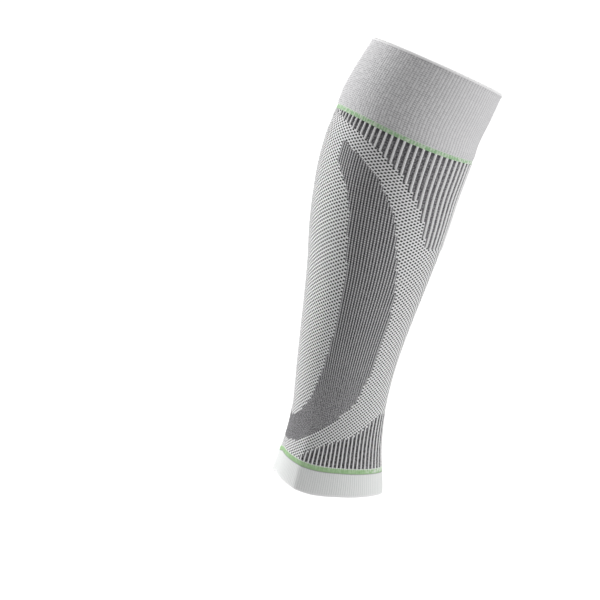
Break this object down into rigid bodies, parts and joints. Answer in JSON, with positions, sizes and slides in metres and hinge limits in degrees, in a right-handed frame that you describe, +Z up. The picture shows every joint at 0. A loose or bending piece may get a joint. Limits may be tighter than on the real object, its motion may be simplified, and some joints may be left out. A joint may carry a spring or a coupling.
{
  "type": "calf compression sleeve",
  "caption": "Footless knitted compression sleeve in its worn form: wide top cuff, ribbed shin panels, openwork knit, dark calf crescents and a narrow ankle cuff.",
  "frame": {"origin": "on the leg's axis in the middle of the ankle hem", "axes": "+Z up the leg from the ankle to the calf, +X forward to the shin, -Y to the side that the picture shows"},
  "size_m": [0.1314, 0.1142, 0.3608],
  "materials": {
    "cuff_knit": "white fine ribbed knit, matt",
    "stripe_knit": "pale green plain knit, matt",
    "rib_knit": "white raised ribs over dark grey grooves, matt",
    "mesh_knit": "white openwork knit with dark grey dots, matt",
    "crescent_knit": "dark grey dense knit with fine paler lines, matt"
  },
  "bodies": {
    "root": {"top_cuff": "cuff_knit", "upper_stripe": "stripe_knit", "upper_rib_panel": "rib_knit", "shin_mesh": "mesh_knit", "calf_mesh": "mesh_knit", "crescent_panel": "crescent_knit", "lower_rib_panel": "rib_knit", "lower_stripe": "stripe_knit", "bottom_cuff": "cuff_knit"}
  },
  "joints": []
}
